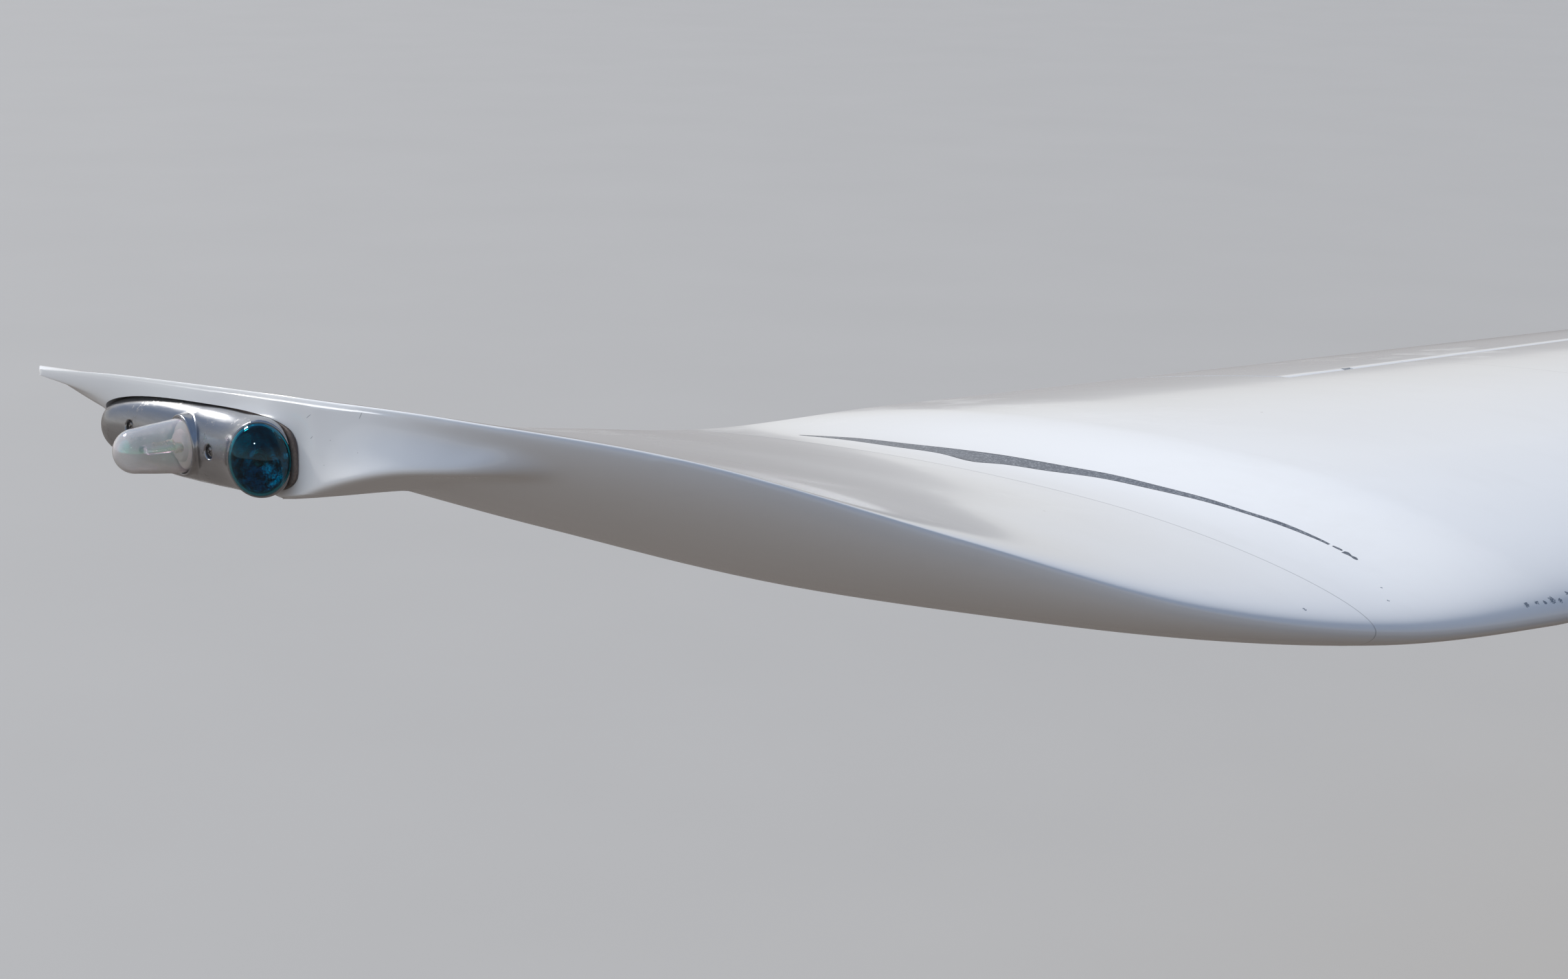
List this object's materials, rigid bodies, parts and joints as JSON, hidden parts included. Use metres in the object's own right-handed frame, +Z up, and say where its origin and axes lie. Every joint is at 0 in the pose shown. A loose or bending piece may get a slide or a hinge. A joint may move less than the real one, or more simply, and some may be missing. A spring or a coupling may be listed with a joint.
{
  "type": "right wing panel of a single-engine light aircraft",
  "caption": "Removable right wing panel of a light aircraft: upswept tip with position and strobe light, hinged aileron and flap, root rib and spar stub.",
  "frame": {"origin": "on the root rib's inboard face, where the main spar's centre line crosses it", "axes": "+X outboard along the wing, +Y forward, +Z up"},
  "size_m": [5.7915, 1.1927, 0.5166],
  "materials": {
    "wing_paint": "glossy white gelcoat with faint dirt, seams and small chips",
    "glass_fibre": "bare glass-fibre laminate",
    "steel": "plated steel",
    "rod_aluminium": "drawn tube",
    "bracket_aluminium": "milled plate",
    "cast_aluminium": "polished casting, lightly weathered",
    "gasket_rubber": "dull grey-brown rubber",
    "green_glass": "dark green glass dome",
    "clear_glass": "clear strobe glass with a faint coating"
  },
  "bodies": {
    "wing": {"wing_panel": "wing_paint", "wing_tip": "wing_paint", "root_rib": "glass_fibre", "spar_stub": "glass_fibre", "main_bush_inner": "steel", "main_bush_outer": "steel", "root_pin_front": "steel", "root_pin_rear": "steel", "aileron_control_rod": "rod_aluminium", "wing_connector": "cast_aluminium", "light_gasket": "gasket_rubber", "light_housing": "cast_aluminium", "green_lens": "green_glass", "strobe_dome": "clear_glass", "light_screw_front": "steel", "light_screw_rear": "steel", "tie_down_ring": "steel", "inspection_cover_inner": "wing_paint", "inspection_cover_outer": "wing_paint", "aileron_rod_fairing": "wing_paint", "aileron_push_rod": "rod_aluminium", "aileron_bracket_1": "bracket_aluminium", "aileron_bracket_2": "bracket_aluminium", "aileron_bracket_3": "bracket_aluminium", "flap_bracket_1": "bracket_aluminium", "flap_bracket_2": "bracket_aluminium", "flap_bracket_3": "bracket_aluminium"},
    "aileron": {"aileron": "wing_paint", "aileron_horn": "steel", "aileron_pin_1": "steel", "aileron_pin_2": "steel", "aileron_pin_3": "steel"},
    "flap": {"flap": "wing_paint", "flap_drive_pin": "steel", "flap_pin_1": "steel", "flap_pin_2": "steel", "flap_pin_3": "steel"}
  },
  "joints": [
    {"name": "aileron_hinge", "type": "hinge", "parent": "wing", "child": "aileron", "pos_m": [1.76, -0.40677, 0.10304], "axis": [0.9952, 0.0717, 0.0668], "range_deg": [-16, 13]},
    {"name": "flap_hinge", "type": "hinge", "parent": "wing", "child": "flap", "pos_m": [0.014, -0.47886, -0.00927], "axis": [0.9956, 0.0668, 0.0655], "range_deg": [0, 45]}
  ]
}
